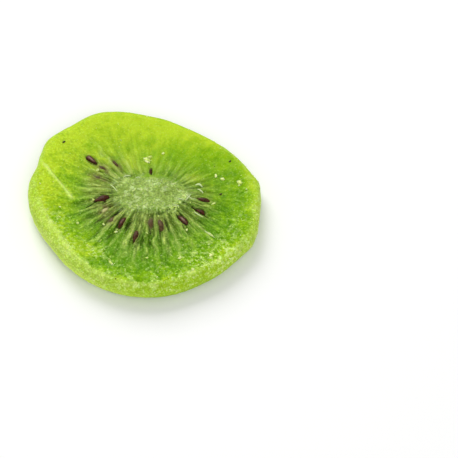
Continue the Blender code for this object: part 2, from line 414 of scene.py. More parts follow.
# The walls that show best: direction in degrees, strength, share of the ray they reach, half width in mm
BOLD_WALLS = (
    (27, 1.0, 0.34, 0.45), (38, 0.9, 0.30, 0.34), (52, 0.6, 0.24, 0.30), (66, 0.9, 0.30, 0.30),
    (80, 0.7, 0.27, 0.28), (32.5, 0.9, 0.30, 0.28), (105, 0.8, 0.28, 0.30), (170, 1.0, 0.42, 0.36),
    (97, 1.0, 0.18, 0.26), (118, 1.0, 0.46, 0.36), (132, 1.0, 0.92, 0.34), (141, 0.9, 0.55, 0.24),
    (150, 0.8, 0.60, 0.24), (165, 1.0, 0.56, 0.40), (175, 1.0, 0.60, 0.44), (199, 1.0, 0.60, 0.40),
    (206, 0.9, 0.50, 0.26), (217, 1.0, 0.50, 0.40), (229, 1.0, 0.60, 0.42), (233, 1.0, 0.36, 0.44),
    (242, 0.8, 0.62, 0.20), (252, 1.0, 0.85, 0.60), (260.5, 1.0, 0.95, 0.30), (267, 0.7, 0.92, 0.22),
    (276, 0.65, 0.85, 0.22), (285.5, 1.0, 0.80, 0.34), (293, 0.9, 0.90, 0.26), (301, 0.8, 0.80, 0.26),
    (316.5, 1.0, 0.95, 0.26), (326, 1.0, 0.45, 0.30), (341, 0.8, 0.50, 0.22),
)

# Where the drying flesh split: the two ends in mm from the middle of the core, the half width in mm and how
# deep and dark the slit is beside the deepest one. The dark in a slit is painted shade.
SLITS = (
    ((-11.7, -2.5), (-13.5, -3.7), 0.13, 1.0), ((-7.9, -3.5), (-10.4, -4.9), 0.21, 1.0),
    ((-5.7, -4.3), (-7.9, -6.2), 0.15, 1.0), ((-4.0, -7.7), (-4.9, -9.9), 0.26, 0.7),
    ((-2.8, -11.4), (-3.4, -13.4), 0.15, 0.8), ((0.2, -9.2), (0.4, -10.8), 0.17, 0.9),
    ((2.3, -9.2), (2.4, -11.2), 0.16, 1.0), ((3.2, -6.9), (4.3, -10.2), 0.16, 0.65),
    ((8.9, -3.4), (10.2, -4.7), 0.18, 1.0), ((11.4, -5.4), (12.5, -6.3), 0.16, 0.9),
    ((7.0, -8.4), (7.5, -9.4), 0.13, 0.9), ((0.1, 5.0), (0.2, 6.8), 0.15, 0.9),
    ((-7.6, 7.8), (-8.6, 9.4), 0.14, 0.7), ((-10.2, 5.5), (-11.4, 6.1), 0.13, 0.8),
    ((10.9, -1.2), (12.2, -1.7), 0.20, 1.0), ((-9.9, -6.4), (-11.6, -7.9), 0.22, 0.5),
)
# Longer hollows of deep green between two walls, darkened with painted shade: the middle's ray in degrees and
# share of it, then half length and half width in mm and how dark
HOLLOWS = (
    (129, 0.13, 1.0, 0.25, 0.70), (135, 0.19, 1.2, 0.25, 0.70), (151, 0.16, 1.3, 0.25, 0.80),
    (163, 0.20, 1.3, 0.28, 0.30), (193, 0.43, 1.8, 0.80, 0.25), (209, 0.44, 1.6, 0.45, 0.50),
    (223.5, 0.10, 0.8, 0.40, 0.45), (326, 0.16, 1.2, 0.30, 0.60), (236, 0.45, 1.5, 0.42, 0.60),
    (246, 0.23, 1.3, 0.50, 1.00), (247, 0.60, 1.6, 0.32, 0.45), (256, 0.50, 1.4, 0.25, 0.35),
    (264.5, 0.38, 1.8, 0.32, 0.90), (270.5, 0.42, 1.4, 0.36, 0.75), (274, 0.20, 1.2, 0.22, 0.80),
    (279, 0.42, 1.4, 0.30, 0.65), (290, 0.21, 1.5, 0.40, 0.95), (297, 0.22, 1.5, 0.30, 0.30),
    (305, 0.40, 1.5, 0.36, 0.60), (321.5, 0.38, 1.7, 0.32, 0.65), (259, 0.18, 1.2, 0.22, 0.60),
    (240, 0.62, 1.8, 0.30, 0.35), (286, 0.42, 2.0, 0.30, 0.60),
)
print(len(BOLD_WALLS), "bold walls,", len(SLITS), "slits and", len(HOLLOWS), "hollows")

# %% Work out how bold the walls are
BOLD_TOWARDS = 255
BOLD_ON_LEFT = 0.14
# The flesh beyond the core's upper left, which is also the greyest: direction and half width
HAZE_ON_LEFT = (152, 27)


def facing(degrees, direction):
    """1 towards a direction, 0 away from it and a half at its sides."""
    return 0.5 + 0.5 * math.cos(math.radians(degrees - direction))


def boldness(degrees):
    """How bold the plain walls are towards a direction: boldest on the near side of the core."""
    return 0.15 + 0.85 * facing(degrees, BOLD_TOWARDS) + BOLD_ON_LEFT * towards(degrees, *HAZE_ON_LEFT)


print("boldness near, left and far:", [round(boldness(degrees), 2) for degrees in (270, 180, 90)])

# %% Draw the thinner walls and the gaps
# The plain walls, gaps and threads between the bold walls, drawn within these ranges
WALL_STRENGTH = (0.15, 0.65)
WALL_REACH = (0.40, 0.95)
WALL_HALF_WIDTH = (0.12 * MM, 0.30 * MM)
WALL_OFF_CENTRE = 0.22
GAP_STRENGTH = (0.40, 1.0)
GAP_REACH = (0.25, 0.85)
GAP_HALF_WIDTH = (0.08 * MM, 0.17 * MM)
GAP_OFF_CENTRE = (0.10, 0.38)
THREADS = 34
THREAD_STRENGTH = (0.15, 0.55)
THREAD_REACH = (0.30, 0.85)


def turn_of(degrees):
    """A direction in turns, where each whole turn is the middle of a pocket."""
    starts = [*rays, rays[0] + 360]
    degrees = rays[0] + (degrees - rays[0]) % 360
    pocket = max(number for number, ray in enumerate(rays) if ray <= degrees)
    return pocket + (degrees - rays[pocket]) / (starts[pocket + 1] - rays[pocket])


def listed_by_turn(lines):
    """The lines that start near each whole turn, so that a place looks at only a few of them."""
    near = [[] for _ in rays]
    for line in lines:
        for turn in (-1, 0, 1):
            near[(int(line[0]) + turn) % len(rays)].append(line)
    return near


def draw_walls():
    """Place in turns, strength, reach and half width of every wall."""
    lines = []
    for degrees, strength, reach, half_width in BOLD_WALLS:
        lines.append((turn_of(degrees), strength, reach, half_width * MM))
    for number, ray in enumerate(rays):
        place = number + 0.5 + draw.uniform(-1, 1) * WALL_OFF_CENTRE
        strength = draw.uniform(*WALL_STRENGTH) * boldness(ray)
        reach = draw.uniform(*WALL_REACH) * (0.4 + 0.6 * boldness(ray))
        lines.append((place, strength, reach, draw.uniform(*WALL_HALF_WIDTH)))
    for _ in range(THREADS):
        place = draw.uniform(0, len(rays))
        strength = draw.uniform(*THREAD_STRENGTH) * boldness(rays[int(place) % len(rays)])
        lines.append((place, strength, draw.uniform(*THREAD_REACH), WALL_HALF_WIDTH[0]))
    return listed_by_turn(lines)


def draw_gaps():
    """The same for the narrow gaps, two to a pocket, where the jelly dried away from a wall. Their dark is
    painted shade.
    """
    lines = []
    for number, ray in enumerate(rays):
        for side in (-1, 1):
            place = number + side * draw.uniform(*GAP_OFF_CENTRE)
            strength = draw.uniform(*GAP_STRENGTH) * boldness(ray)
            lines.append((place, strength, draw.uniform(*GAP_REACH), draw.uniform(*GAP_HALF_WIDTH)))
    return listed_by_turn(lines)


walls, gaps = draw_walls(), draw_gaps()
hollows = []
for degrees, share, half_length, half_width, depth in HOLLOWS:
    outward = (rim_edge(degrees) - core_edge(degrees)).normalized()
    hollows.append((ray_point(degrees, share), outward, half_length * MM, half_width * MM, depth))
slits = [(Vector(start) * MM, Vector(end) * MM, width * MM, depth) for start, end, width, depth in SLITS]
print(len(BOLD_WALLS) + len(rays) + THREADS, "walls and threads in all")

# %% Mark the walls, the slits and the hollows
WOBBLE = 0.34
WOBBLE_LENGTH = 2.8 * MM
WALL_PATCH_LENGTH = 1.3 * MM


def clouds(point, length):
    """Cloudy noise from about -1 to 1, in clouds of about a length."""
    return noise.noise(point.to_3d() / length)


def pocket_width(degrees, share):
    """How wide a pocket is there, from wall to wall."""
    inner, outer = core_edge(degrees).length, rim_reach(degrees)
    return math.radians(POCKET_PITCH) * (inner + (outer - inner) * max(share, 0.0))


def wobbled(turns, point, share):
    """The turn, in pockets, with a sideways wander that leaves the core's edge alone."""
    return turns + WOBBLE * clouds(point, WOBBLE_LENGTH) * ease(share / 0.3)


def line_mark(lines, turns, point, degrees, share):
    """How much of a wall's crest, or of a gap, is at a place, 0 to 1. It is bold here and faint there."""
    if share <= 0:
        return 0.0
    width, most = pocket_width(degrees, share), 0.0
    for place, strength, reach, half_width in lines[math.floor(turns) % len(rays)]:
        apart = (turns - place + len(rays) / 2) % len(rays) - len(rays) / 2
        along = ease((share - 0.01) / 0.07) * (1 - ease((share - 0.45 * reach) / (0.55 * reach)))
        most = max(most, strength * along * hump(apart * width, half_width * (0.8 + 0.6 * share)))
    return most * min(1.0, 0.85 + 0.8 * clouds(point, WALL_PATCH_LENGTH))


def slit_mark(point):
    """How deep in a slit a place is, 0 to 1. A slit narrows towards both ends."""
    deepest = 0.0
    for start, end, half_width, depth in slits:
        if (point - start).length_squared < (4 * MM) ** 2:
            along = (point - start).dot(end - start) / (end - start).length_squared
            beside = (point - start.lerp(end, clamp(along))).length
            narrowed = half_width * (0.45 + 0.55 * max(0.0, 1 - (2 * along - 1) ** 2))
            deepest = max(deepest, depth * hump(beside, narrowed))
    return deepest


def hollow_mark(point):
    """How deep in a hollow a place is, 0 to 1. The hollows run away from the core, like the walls."""
    deepest = 0.0
    for middle, outward, half_length, half_width, depth in hollows:
        offset = point - middle
        if offset.length_squared < (3 * half_length) ** 2:
            along, across = offset.dot(outward) / half_length, offset.cross(outward) / half_width
            deepest = max(deepest, depth * hump(math.hypot(along, across), 1.0))
    return deepest


print("a pocket's width in mm at the core's near edge:", round(pocket_width(270, 0) / MM, 2))


# %% Work out the heights of the two faces
def beside_fold(point):
    """How far a point is to the raised side of the fold's line, and its share of the way down that line."""
    line = FOLD_INNER - FOLD_OUTER
    across = Vector((line.y, -line.x)).normalized()
    return (point - FOLD_OUTER).dot(across), (point - FOLD_OUTER).dot(line) / line.length_squared


def fold(point):
    """How far the fold raises the shown face at a point."""
    beside, share = beside_fold(point)
    ends = ease((share + 0.35) / 0.5) * ease((1.25 - share) / 0.45)
    return FOLD_STEP * ends * ease(beside / FOLD_STEP_WIDTH + 0.5) * (1 - ease(beside / FOLD_FADE))


def extra_thickness(degrees, share):
    """How far the shown face rises towards the thicker side of the rim."""
    side = max(0.0, math.cos(math.radians(degrees - THICKER_TOWARDS)))
    return THICKER_BY * side * side * ease((share - THICKER_START) / (1 - THICKER_START))


def pocket_relief(share, wave, reach):
    """The pockets' and walls' height along a ray. wave is -1 down a pocket and 1 on a wall."""
    strength = ease(share / 0.06) * (1 - ease((share - 0.5 * reach) / (0.8 * reach)))
    return strength * (WALL_RISE * (wave + 1) / 2 - POCKET_DEPTH * (1 - wave) / 2)


def shown_height(point, degrees, share, wave, reach):
    """The solid's shown face."""
    height = THICKNESS + fold(point) + BUMP_HEIGHT * clouds(point, BUMP_LENGTH)
    if share < 0:
        return height + CORE_RISE * ease(-share)
    dish = DISH_DEPTH * math.sin(math.pi * min(share, 1.0)) ** 2
    return height - dish + pocket_relief(share, wave, reach) + extra_thickness(degrees, share)


def resting_height(degrees, share, wave):
    """The solid's resting face."""
    if share < 0:
        return CORE_HOLLOW * ease(-share * 2)
    relief = -pocket_relief(share, wave, RESTING_POCKET_REACH) * ease((0.42 - share) / 0.1)
    apart = min(abs((degrees - spot + 180) % 360 - 180) for spot in RESTING_SPOTS)
    off_spot = ease((apart - RESTING_SPOT_HALF_WIDTH) / (180 / len(RESTING_SPOTS)))
    near_rim = ease((share - RESTING_FLAT_REACH) / (1 - RESTING_FLAT_REACH))
    return max(0.0, relief) + RESTING_WAVE * off_spot * near_rim


print("height in mm on the fold's line:", round(fold((FOLD_OUTER + FOLD_INNER) / 2) / MM, 2))

# %% [markdown]
# ## The skin
#
# A lathe would spin a half section round the axis, but spinning a fine section hundreds of times takes far
# longer than rolling up a flat grid. So one grid operator makes the sheet, its columns become rays and its
# rows become rings, and merging doubles closes the seam and both poles. Each point then gets its real place,
# and carries its marks with it.

# %% Set out the rings and the columns
POCKET_COLUMNS = 16
CORE_RINGS = 16
SHOWN_RINGS = 84
RIM_RINGS = 22
RESTING_RINGS = 34
columns = len(rays) * POCKET_COLUMNS

FIBRES_ROUND = 26.0
FIBRES_ALONG = 3.0
SHOULDER_SHARE = 0.958
# Where the shoulder lies further in: direction, half width and share of the ray
SHOULDER_INWARD = ((207, 30, 0.08), (187, 12, 0.04), (264, 22, 0.018), (299, 17, 0.036))


def shoulder_share(degrees):
    """Where the shown face turns over into the side: further in beside the fold."""
    return SHOULDER_SHARE - added_towards(degrees, SHOULDER_INWARD)


def ring_places():
    """(share, side) of each ring, from the shown face's pole round the rim to the other pole. side is 1 on
    the shown face, -1 on the resting face and between them on the rim."""
    flesh_end = 1 - RIM_ROUNDING / (sum(RIM_REACH) / len(RIM_REACH) - CORE_HALF_LENGTH)
    core = [ring / CORE_RINGS - 1 for ring in range(CORE_RINGS)]
    places = [(share, 1.0) for share in core]
    places += [(flesh_end * ring / SHOWN_RINGS, 1.0) for ring in range(SHOWN_RINGS)]
    for ring in range(RIM_RINGS + 1):
        turn = math.pi * ring / RIM_RINGS
        out = abs(math.sin(turn)) ** (2 / RIM_SQUARENESS)
        side = math.copysign(abs(math.cos(turn)) ** (2 / RIM_SQUARENESS), math.cos(turn))
        places.append((flesh_end + (1 - flesh_end) * out, side))
    places += [(flesh_end * ring / RESTING_RINGS, -1.0) for ring in reversed(range(RESTING_RINGS))]
    return places + [(share, -1.0) for share in reversed(core[::2])]


def column_ray(column):
    """The direction of one column. Every POCKET_COLUMNS-th one runs down a pocket."""
    pocket, part = divmod(column, POCKET_COLUMNS)
    following = rays[pocket + 1] if pocket + 1 < len(rays) else rays[0] + 360
    return rays[pocket] + (following - rays[pocket]) * part / POCKET_COLUMNS


def reach_at(turns):
    """How far the pockets run at a turn, between one pocket's reach and the next one's."""
    pocket = math.floor(turns)
    part = turns - pocket
    return reaches[pocket % len(rays)] * (1 - part) + reaches[(pocket + 1) % len(rays)] * part


def fibre_place(degrees, share):
    """A place in a space where noise comes out as long fibres down the rays."""
    turn = math.radians(degrees)
    around = FIBRES_ROUND / 2
    return Vector((around * math.cos(turn), around * math.sin(turn), FIBRES_ALONG * share))


print(len(ring_places()), "rings of", columns, "columns")


# %% Find the seeds
def seed_spot(ray, distance):
    """A seed's place seen from above, the direction away from the core and the place's share of its ray."""
    inner, outer = core_edge(ray), rim_edge(ray)
    outward = (outer - inner).normalized()
    return inner + outward * distance * MM, outward, distance * MM / (outer - inner).length


def turned(direction, degrees):
    """A direction on the floor, turned left."""
    return Matrix.Rotation(math.radians(degrees), 2) @ direction


seed_spots = []
for ray, distance, _, length, width, turn, _, film, _ in SHOWN_SEEDS:
    spot, outward, _ = seed_spot(ray, distance)
    seed_spots.append((spot, turned(outward, turn), length, width, film))


def nearest_seed(point):
    """Distance to the nearest shown seed's middle, where 1 is its edge, and how hidden that seed is."""
    nearest = 9.0, 0.0
    for spot, outward, length, width, film in seed_spots:
        offset = point - spot
        if offset.length_squared < (2.5 * SEED_LENGTH) ** 2:
            along = offset.dot(outward) / (SEED_LENGTH * length / 2)
            across = offset.cross(outward) / (SEED_WIDTH * width / 2)
            nearest = min(nearest, (math.hypot(along, across), film))
    return nearest


print(len(seed_spots), "seeds on the shown face and", len(resting_seeds), "below")

# %% Mark the core and the haze
CORE_BLEED, CORE_BLEED_LENGTH = 0.09, 1.1 * MM
CORE_FIBRE_BLEED = 0.10
CORE_SOFTNESS = 0.22
CORE_SOFTER_BY, CORE_SOFTER_TOWARDS = 0.20, (165, 40)
# Where the pale core reaches past its oval, or stops short of it: direction, half width and share of the ray
CORE_TIPS = (
    (352, 14, 0.12), (172, 20, -0.03), (142, 14, 0.06), (90, 40, -0.08), (218, 20, 0.02), (238, 10, 0.09),
    (272, 14, -0.05),
)
# Where the core is whiter (over 0) or greener (under 0): place and radius in mm, and how much
CORE_PATCHES = (
    ((7.3, -1.0), 1.1, 0.95), ((-4.5, 1.8), 2.4, 0.05), ((-0.7, 0.0), 2.2, 0.02), ((3.0, 1.5), 2.0, -0.15),
    ((-0.5, 3.4), 1.6, 0.30), ((-6.0, -0.4), 1.8, -0.20), ((1.2, -2.8), 2.4, 0.10), ((5.6, 0.2), 1.2, -0.20),
    ((3.9, -0.6), 1.3, -0.15),
)
CORE_PATCH_LENGTH = 1.6 * MM
HAZE_SHARE = 0.34
# Behind the core the flesh is greyer too: direction and half width
HAZE_ABOVE = (98, 42)


def added_near(point, patches, amount=0.0):
    """An amount, with what patches of the slice add to it: place and radius in mm, and how much."""
    for spot, radius, extra in patches:
        amount += extra * hump((point - Vector(spot) * MM).length, radius * MM)
    return amount


def core_mark(point, degrees, share):
    """How much of the pale core is at a place, 0 to 1. Its edge is ragged and soft."""
    edge = CORE_BLEED * clouds(point, CORE_BLEED_LENGTH)
    edge += CORE_FIBRE_BLEED * noise.noise(fibre_place(degrees, share))
    edge = added_towards(degrees, CORE_TIPS, edge)
    softness = CORE_SOFTNESS + CORE_SOFTER_BY * towards(degrees, *CORE_SOFTER_TOWARDS)
    return 1 - ease((share - edge) / softness + 0.5)


def whitish_mark(point):
    """How white the core is at a place, 0 to 1."""
    return clamp(0.45 + added_near(point, CORE_PATCHES) + 0.35 * clouds(point, CORE_PATCH_LENGTH))


def haze_mark(degrees, share):
    """How grey the flesh is round the core: most beyond the core's two ends and on its near side."""
    turn = math.radians(degrees)
    haze = 0.35 + 0.35 * math.cos(2 * turn) + 0.30 * max(0.0, -math.sin(turn))
    haze += 0.35 * towards(degrees, *HAZE_ON_LEFT)
    haze += 0.25 * towards(degrees, *HAZE_ABOVE)
    return min(1.0, haze + 0.15) * hump(max(share, 0.0), HAZE_SHARE)


print("haze left of the core:", round(haze_mark(180, 0), 2), "and behind it:", round(haze_mark(90, 0), 2))

# %% Work out the gaps and the finest relief
# The groove round the core, painted dark as shade: share of the ray, half width, strength, and the direction
# where it closes
GROOVE_AT, GROOVE_HALF_WIDTH, GROOVE_STRENGTH = 0.050, 0.045, 0.85
GROOVE_CLOSED = (238, 12)

CRUMPLE_HEIGHT = 0.07 * MM
CRUMPLE_LENGTH = 1.9 * MM
FIBRE_HEIGHTS = ((0.045 * MM, 1.0), (0.050 * MM, 2.3))
CORE_GRAIN_HEIGHT = 0.07 * MM
CORE_GRAIN_LENGTH = 0.55 * MM
SHOULDER_RISE = 0.16 * MM
SHOULDER_HALF_WIDTH = 0.020
# The fine relief flattens off where the solid is already at its tallest.
TALL_START = 5.75 * MM
TALL_LIMIT = 6.05 * MM


def gap_mark(point, degrees, share, turns, wall, bold):
    """How deep in a gap, a hollow or the groove round the core a place is, 0 to 1. The material paints shade
    there.
    """
    gap = line_mark(gaps, turns, point, degrees, share) * (1 - wall)
    groove = GROOVE_STRENGTH * hump(share - GROOVE_AT, GROOVE_HALF_WIDTH) * (0.2 + 0.8 * bold)
    groove = groove * (0.6 + 1.2 * clouds(point, MM)) * (1 - 0.8 * towards(degrees, *GROOVE_CLOSED))
    return max(gap, hollow_mark(point), groove)


def roughened(height, point, degrees, share, bold, core):
    """The shown face's height with its finest relief, flattened off near the solid's tallest."""
    height += CRUMPLE_HEIGHT * clouds(point, CRUMPLE_LENGTH)
    for fibre_height, fineness in FIBRE_HEIGHTS:
        fibre = noise.noise(fibre_place(degrees, share) * fineness)
        fibre = fibre_height * fibre * ease((share + 0.1) / 0.2)
        height += fibre * (1.2 - 0.8 * ease(share)) * (0.4 + 0.6 * bold)
    height += CORE_GRAIN_HEIGHT * clouds(point, CORE_GRAIN_LENGTH) * core
    height += SHOULDER_RISE * hump(share - shoulder_share(degrees), SHOULDER_HALF_WIDTH)
    if height <= TALL_START:
        return height
    room = TALL_LIMIT - TALL_START
    return TALL_START + room * (1 - math.exp((TALL_START - height) / room))


print("room in mm that the finest relief has at the tallest:", round((TALL_LIMIT - TALL_START) / MM, 2))

# %% Give every place its height and its marks
CREST_RISE, GAP_DEPTH, SLIT_DEPTH = 0.13 * MM, 0.16 * MM, 0.40 * MM
FILM_RISE, FILM_REACH = 0.14 * MM, 1.2
# Round each shown seed the flesh dips to a moat and then stands up in a lip: sizes beside the seed's own. The
# moat is painted dark with the slits' shade.
MOAT_AT, MOAT_HALF_WIDTH, MOAT_DEPTH = 0.96, 0.14, 0.16 * MM
LIP_AT, LIP_HALF_WIDTH, LIP_RISE = 1.34, 0.20, 0.09 * MM
# Where the flesh is plain further out: direction and half width
PLAIN_ON_LEFT = (172, 25)


def shown_place(point, degrees, share, turns):
    """Height and marks of a place on the shown face."""
    turns = wobbled(turns, point, share)
    wave = -math.cos(math.tau * turns)
    bold = boldness(degrees)
    wall = line_mark(walls, turns, point, degrees, share)
    gap = gap_mark(point, degrees, share, turns, wall, bold)
    wall *= 1 - 0.8 * gap
    slit = slit_mark(point)
    core = core_mark(point, degrees, share)
    from_seed, film = nearest_seed(point)
    torn = clamp(0.5 + 1.6 * clouds(point, MM))
    moat = hump(from_seed - MOAT_AT, MOAT_HALF_WIDTH) * (1 - film) ** 3
    lip = hump(from_seed - LIP_AT, LIP_HALF_WIDTH) * (1 - film) * torn
    height = shown_height(point, degrees, share, wave * (0.4 + 0.6 * bold), reach_at(turns))
    height += CREST_RISE * wall - GAP_DEPTH * gap - SLIT_DEPTH * slit - MOAT_DEPTH * moat + LIP_RISE * lip
    height += FILM_RISE * film * hump(from_seed, FILM_REACH)
    thready = bold * (1 - ease((share - 0.36) / 0.56))
    thready *= 1 - 0.6 * towards(degrees, *PLAIN_ON_LEFT) * ease((share - 0.25) / 0.2)
    stain = clamp((0.35 + 0.60 * film) * hump(from_seed, 1.3 + 0.2 * film)) * (0.4 + 0.9 * torn)
    return roughened(height, point, degrees, share, bold, core), {
        "core": core, "wall": max(wall, 0.8 * lip), "slit": max(slit, 0.5 * moat), "gap": gap,
        "thready": thready, "pocket": ((1 - wave) / 2) ** 0.6 * thready * ease(share / 0.05),
        "haze": haze_mark(degrees, share), "stain": stain,
    }


def resting_place(point, degrees, share, turns):
    """Height and marks of a place on the resting face, which is the same cut, pressed flat."""
    turns = wobbled(turns, point, share)
    wave = -math.cos(math.tau * turns)
    core = core_mark(point, degrees, share)
    height = resting_height(degrees, share, wave)
    height += abs(CORE_GRAIN_HEIGHT * clouds(point, CORE_GRAIN_LENGTH)) * core
    height += abs(CRUMPLE_HEIGHT * clouds(point, CRUMPLE_LENGTH)) * ease(share / 0.2)
    thready = 0.8 * (1 - ease((share - 0.25) / 0.35))
    return height, {
        "core": core, "wall": line_mark(walls, turns, point, degrees, share), "slit": 0.0, "gap": 0.0,
        "thready": thready, "pocket": ease(share / 0.05) * thready * (1 - wave) / 2,
        "haze": haze_mark(degrees, share), "stain": 0.0,
    }


middle_height, _ = shown_place(Vector((0, 0)), 0, -1, 0)
print("height in mm at the middle of the core:", round(middle_height / MM, 2))

# %% [markdown]
# More marks cover the whole slice. One says how much sugar has dried on: most on the shoulder and on the side
# nearest the camera, and in patches everywhere. Another says how pale the flesh is, because a slice is never
# one green: it yellows towards the rim, and it is painted paler towards its thin far side, where the paleness
# stands in for light shining through from behind. Two more say where the flesh is grainy and where a crest
# catches the light, which is painted on as a pale highlight.

# %% Mark the sugar
SUGAR_TOWARDS = 278
SUGAR_PATCH_LENGTH = 2.4 * MM
SUGAR_CLUSTER_LENGTH = 0.9 * MM
# Where sugar fringes the core: direction and half width
CORE_FRINGES = ((322, 24), (150, 20))
# Where it lies thicker (over 0) or thinner (under 0): place and radius in mm, and how much
SUGAR_PATCHES = (
    ((16.0, -16.0), 2.4, 0.6), ((-17.0, -14.0), 2.8, 0.20), ((-20.6, -8.6), 2.0, 0.3),
    ((-11.2, -15.0), 2.2, 0.42), ((6.9, -18.9), 2.2, -0.15), ((11.0, -16.0), 3.0, 0.22),
    ((-2.0, -18.5), 4.5, -0.22), ((-11.2, -19.0), 3.0, -0.28), ((14.0, -5.5), 4.0, -0.10),
    ((9.5, -8.0), 3.5, -0.08),
)


def sugar_mark(point, degrees, share, side):
    """How much sugar has dried on at a place, 0 to 1."""
    near = facing(degrees, SUGAR_TOWARDS)
    shoulder = hump(share - shoulder_share(degrees), 0.05) if side > 0 else 0.05 * ease((share - 0.8) / 0.15)
    outer = ease((share - 0.35) / 0.5) * (side > 0)
    amount = 0.02 + 0.36 * outer * near * near + shoulder * (0.05 + 0.40 * near * near)
    if side > 0:
        amount = added_near(point, SUGAR_PATCHES, amount)
        for fringe in CORE_FRINGES:
            amount += 0.7 * hump(share - 0.01, 0.07) * towards(degrees, *fringe)
    spot = Vector((*point, 4 * MM * side))
    patch = 0.5 + 0.9 * clouds(spot, SUGAR_PATCH_LENGTH) + 0.9 * clouds(spot, SUGAR_CLUSTER_LENGTH)
    return clamp(amount * (0.35 + patch))


print(len(SUGAR_PATCHES), "patches with more or less sugar")

# %% Mark the pale flesh and the grain
# Painted backlight: the flesh is painted paler and yellower towards its thin far side, for light shining
# through from behind
PAINTED_BACKLIGHT_TOWARDS = Vector((-0.48, 0.88))
PAINTED_BACKLIGHT_START, PAINTED_BACKLIGHT_WIDTH = -6.0 * MM, 26.0 * MM
PALE_PATCH_LENGTH = 3.3 * MM
# Patches of flesh that are paler (over 0) or deeper green (under 0): place and radius in mm, and how much.
# The deeper green patches at (-15.6, 3.4) and (-14.0, -3.6) are painted shade in the hollow on the fold's low
# side.
PATCHES = (
    ((-21.5, -1.0), 4.5, 0.28), ((-19.0, 1.6), 2.4, -0.14), ((-18.0, -13.0), 5.0, 0.30),
    ((-15.6, 3.4), 3.0, -0.34), ((-14.0, -3.6), 2.6, -0.25), ((-11.0, 10.0), 5.0, -0.14),
    ((0.0, 21.0), 8.0, 0.20), ((12.0, 14.0), 6.0, 0.10), ((-17.5, -7.5), 4.0, 0.12),
    ((17.0, -8.0), 3.0, 0.28), ((9.9, -11.5), 2.2, 0.34), ((15.9, 7.0), 2.5, 0.14),
    ((-14.2, -11.7), 3.5, 0.36), ((-11.3, -14.9), 2.7, 0.80), ((-8.4, -11.6), 2.0, -0.38),
    ((-4.8, -11.4), 1.9, 0.50), ((-17.4, -0.6), 2.2, 0.22), ((12.6, 1.6), 2.2, 0.28),
    ((14.6, -2.4), 2.2, 0.25), ((9.0, 5.5), 3.0, 0.12), ((-15.0, 8.0), 4.0, 0.12),
    ((16.5, 12.0), 4.0, -0.15), ((17.0, -10.5), 3.5, -0.15), ((-4.5, 8.6), 1.5, 0.60),
    ((9.2, 4.0), 1.7, 0.60), ((-10.5, 10.2), 2.6, 0.14), ((1.0, -11.6), 3.0, -0.25),
    ((16.0, -14.0), 5.0, 0.25), ((19.0, 2.0), 8.0, 0.32), ((12.0, 8.0), 6.0, 0.06),
    ((23.5, -4.0), 2.5, 0.35), ((-5.5, 14.0), 5.0, -0.12), ((-12.6, 14.6), 3.2, -0.16),
    ((5.0, -17.5), 4.5, 0.22), ((7.0, 14.0), 2.5, 0.10), ((-2.1, 6.9), 2.5, 0.16), ((-11.4, 3.6), 2.4, 0.32),
    ((-8.4, 10.4), 2.5, 0.10), ((0.0, -15.4), 2.5, 0.12), ((-11.3, -18.9), 2.0, -0.18),
    ((12.9, -0.4), 1.5, 0.15), ((-17.0, -4.2), 2.6, 0.14), ((9.9, -15.2), 2.2, 0.20),
)
GRAIN_START, GRAIN_WIDTH = 9.0 * MM, 17.0 * MM
GRAINY_LEFT, GRAINY_LEFT_WIDTH = -21 * MM, 9 * MM


def pale_and_backlight_mark(point, share):
    """How pale and yellow the flesh is at a place, 0 to 1, with painted backlight that pales the far side."""
    pale = ease((point.dot(PAINTED_BACKLIGHT_TOWARDS) - PAINTED_BACKLIGHT_START) / PAINTED_BACKLIGHT_WIDTH) + 0.55 * ease((share - 0.70) / 0.28)
    return clamp(added_near(point, PATCHES, pale) + 0.22 * clouds(point, PALE_PATCH_LENGTH))


def grain_mark(point):
    """How grainy the flesh is, 0 to 1: its near side dried rougher than its far side."""
    near = ease((GRAIN_START - point.y) / GRAIN_WIDTH)
    left = 0.5 * hump(point.x - GRAINY_LEFT, GRAINY_LEFT_WIDTH)
    return min(1.0, 0.32 + 0.68 * near + left)


print(len(PATCHES), "patches of paler or deeper flesh")

# %% Mark the crests
# The crests are painted pale as a highlight, where the fold's raised edge and the shoulder catch the light.
# The fold's crest: strength, how far it lies to the raised side, and its wander
FOLD_CREST, FOLD_CREST_BESIDE = 0.75, 0.2 * MM
FOLD_CREST_WANDER, FOLD_CREST_WANDER_LENGTH = 0.35 * MM, 3.4 * MM
# The shoulder's ridge: strength, the directions between which it shows, and where it is fainter
RIDGE, RIDGE_FROM, RIDGE_TO = 0.80, 185, 330
RIDGE_FAINTER = (262, 32)


def crest_highlight_mark(point, degrees, share):
    """1 on the crest of the fold and along the shoulder: a painted highlight, the thin pale lines where they
    catch the light.
    """
    beside, part = beside_fold(point)
    beside += FOLD_CREST_WANDER * clouds(point, FOLD_CREST_WANDER_LENGTH)
    half_width = (0.34 + 0.26 * clouds(point, 1.5 * MM) + 0.10 * ease(part)) * MM
    crest = FOLD_CREST * hump(beside - FOLD_CREST_BESIDE, half_width)
    crest = crest * ease((part + 0.05) / 0.2) * ease((1.08 - part) / 0.15)
    near = ease((degrees % 360 - RIDGE_FROM) / 24) * ease((RIDGE_TO - degrees % 360) / 30)
    near *= 1 - 0.50 * towards(degrees, *RIDGE_FAINTER)
    patchy = 0.45 + 0.9 * clouds(point, 2.6 * MM) + 0.5 * clouds(point, 0.9 * MM)
    ridge = RIDGE * near * patchy * hump(share - shoulder_share(degrees), 1.05 * SHOULDER_HALF_WIDTH)
    return clamp(max(crest, ridge))


print("the shoulder's share of its ray beside the fold:", round(shoulder_share(207), 2))

# %% Place a point of the skin and write its marks
MARKS = (
    "core", "whitish", "haze", "thready", "wall", "gap", "slit", "pocket",
    "stain", "sugar", "pale", "rim", "crest", "frosted", "glow", "grain",
)
